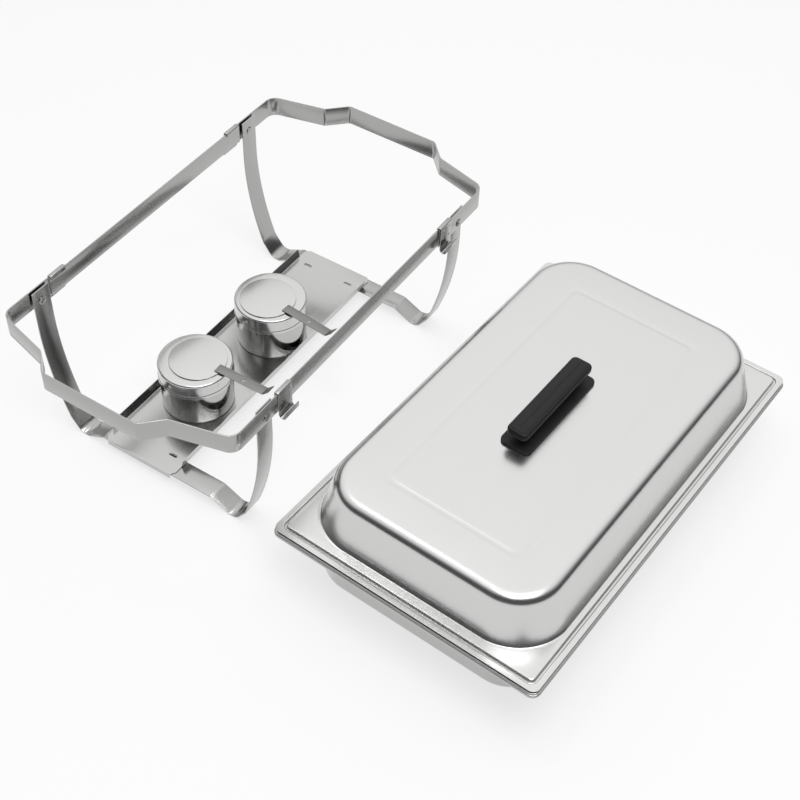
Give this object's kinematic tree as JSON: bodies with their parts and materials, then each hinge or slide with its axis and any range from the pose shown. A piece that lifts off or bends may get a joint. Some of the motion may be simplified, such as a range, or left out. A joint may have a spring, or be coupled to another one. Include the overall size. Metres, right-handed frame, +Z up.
{
  "type": "chafing dish",
  "caption": "Rectangular chafing dish: folding strip stand with fuel shelf and covered fuel holders, and a water pan, food pan and domed lid set down beside it.",
  "frame": {"origin": "middle of the water pan's underside, on the table", "axes": "+Z up, +X along the stand's rails, +Y from the pans to the stand"},
  "size_m": [0.5737, 0.7129, 0.2003],
  "materials": {
    "stand_steel": "satin, brushed along the strip",
    "shelf_steel": "satin",
    "holder_steel": "polished",
    "lever_steel": "matt",
    "pan_steel": "satin",
    "lid_steel": "satin",
    "fastener_steel": "plain",
    "handle_plastic": "black, matt"
  },
  "bodies": {
    "frame": {"left_end_loop": "stand_steel", "right_end_loop": "stand_steel", "front_rail": "stand_steel", "back_rail": "stand_steel", "front_left_lid_hook": "stand_steel", "front_right_lid_hook": "stand_steel", "back_left_lid_hook": "stand_steel", "back_right_lid_hook": "stand_steel", "front_left_pivot_rivet": "stand_steel", "front_right_pivot_rivet": "stand_steel", "back_left_pivot_rivet": "stand_steel", "back_right_pivot_rivet": "stand_steel", "front_left_pivot_washer": "stand_steel", "front_right_pivot_washer": "stand_steel", "back_left_pivot_washer": "stand_steel", "back_right_pivot_washer": "stand_steel"},
    "left_leg": {"left_leg": "stand_steel"},
    "right_leg": {"right_leg": "stand_steel"},
    "shelf": {"fuel_shelf": "shelf_steel"},
    "left_cup": {"left_fuel_cup": "holder_steel"},
    "right_cup": {"right_fuel_cup": "holder_steel"},
    "left_cover": {"left_cup_cover": "holder_steel"},
    "right_cover": {"right_cup_cover": "holder_steel"},
    "left_damper": {"left_damper_disc": "holder_steel", "left_damper_lever": "lever_steel"},
    "right_damper": {"right_damper_disc": "holder_steel", "right_damper_lever": "lever_steel"},
    "water_pan": {"water_pan": "pan_steel"},
    "food_pan": {"food_pan": "pan_steel"},
    "lid": {"lid_shell": "lid_steel", "handle_base_plate": "handle_plastic", "handle_grip": "handle_plastic", "left_handle_post": "handle_plastic", "right_handle_post": "handle_plastic", "left_handle_washer": "fastener_steel", "right_handle_washer": "fastener_steel", "left_handle_screw": "fastener_steel", "right_handle_screw": "fastener_steel"}
  },
  "joints": [
    {"name": "shelf_lift", "type": "slide", "parent": "frame", "child": "shelf", "axis": [0, 0, 1], "range_m": [0, 0.26]},
    {"name": "left_leg_fold", "type": "hinge", "parent": "frame", "child": "left_leg", "pos_m": [-0.2063, 0.3694, 0.181], "axis": [0, -1, 0], "range_deg": [0, 88]},
    {"name": "right_leg_fold", "type": "hinge", "parent": "frame", "child": "right_leg", "pos_m": [0.1637, 0.3694, 0.181], "axis": [0, 1, 0], "range_deg": [0, 88]},
    {"name": "left_cup_lift", "type": "slide", "parent": "shelf", "child": "left_cup", "axis": [0, 0, 1], "range_m": [0, 0.12]},
    {"name": "right_cup_lift", "type": "slide", "parent": "shelf", "child": "right_cup", "axis": [0, 0, 1], "range_m": [0, 0.12]},
    {"name": "left_cover_lift", "type": "slide", "parent": "left_cup", "child": "left_cover", "axis": [0, 0, 1], "range_m": [0, 0.06]},
    {"name": "right_cover_lift", "type": "slide", "parent": "right_cup", "child": "right_cover", "axis": [0, 0, 1], "range_m": [0, 0.06]},
    {"name": "left_damper_lift", "type": "slide", "parent": "left_cover", "child": "left_damper", "axis": [0, 0, 1], "range_m": [0, 0.05]},
    {"name": "right_damper_lift", "type": "slide", "parent": "right_cover", "child": "right_damper", "axis": [0, 0, 1], "range_m": [0, 0.05]},
    {"name": "water_pan_lift", "type": "slide", "parent": "frame", "child": "water_pan", "axis": [0, 0, 1], "range_m": [0, 0.25]},
    {"name": "food_pan_lift", "type": "slide", "parent": "water_pan", "child": "food_pan", "axis": [0, 0, 1], "range_m": [0, 0.12]},
    {"name": "lid_lift", "type": "slide", "parent": "food_pan", "child": "lid", "axis": [0, 0, 1], "range_m": [0, 0.2]}
  ],
  "couplings": [
    {"joint": "left_leg_fold", "follows": "shelf_lift", "rad_per_m": 5.882},
    {"joint": "right_leg_fold", "follows": "shelf_lift", "rad_per_m": 5.882}
  ]
}
